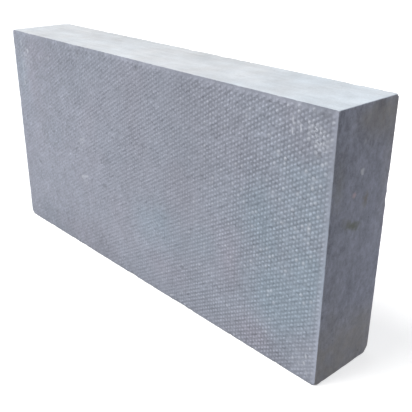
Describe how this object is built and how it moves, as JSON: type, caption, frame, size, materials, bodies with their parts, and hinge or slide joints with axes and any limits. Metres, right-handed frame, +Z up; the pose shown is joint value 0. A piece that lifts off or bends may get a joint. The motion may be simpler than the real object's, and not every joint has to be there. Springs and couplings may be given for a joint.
{
  "type": "concrete flush kerb",
  "caption": "Square-edged precast concrete flush kerb: a plain rectangular block on edge, with one long face of fine raised studs, laid level with the paving as an edge restraint.",
  "frame": {"origin": "centre of the bedding face, on the surface that the kerb stands on", "axes": "+X along the kerb line from end face to end face, +Y from the studded front face to the plain back face, +Z up from the bedding face to the top face"},
  "size_m": [0.5, 0.08, 0.25],
  "materials": {
    "concrete": "cast grey concrete, matt, smooth on the top, ends and back, finely studded on the front"
  },
  "bodies": {
    "root": {"kerb_block": "concrete"}
  },
  "joints": []
}
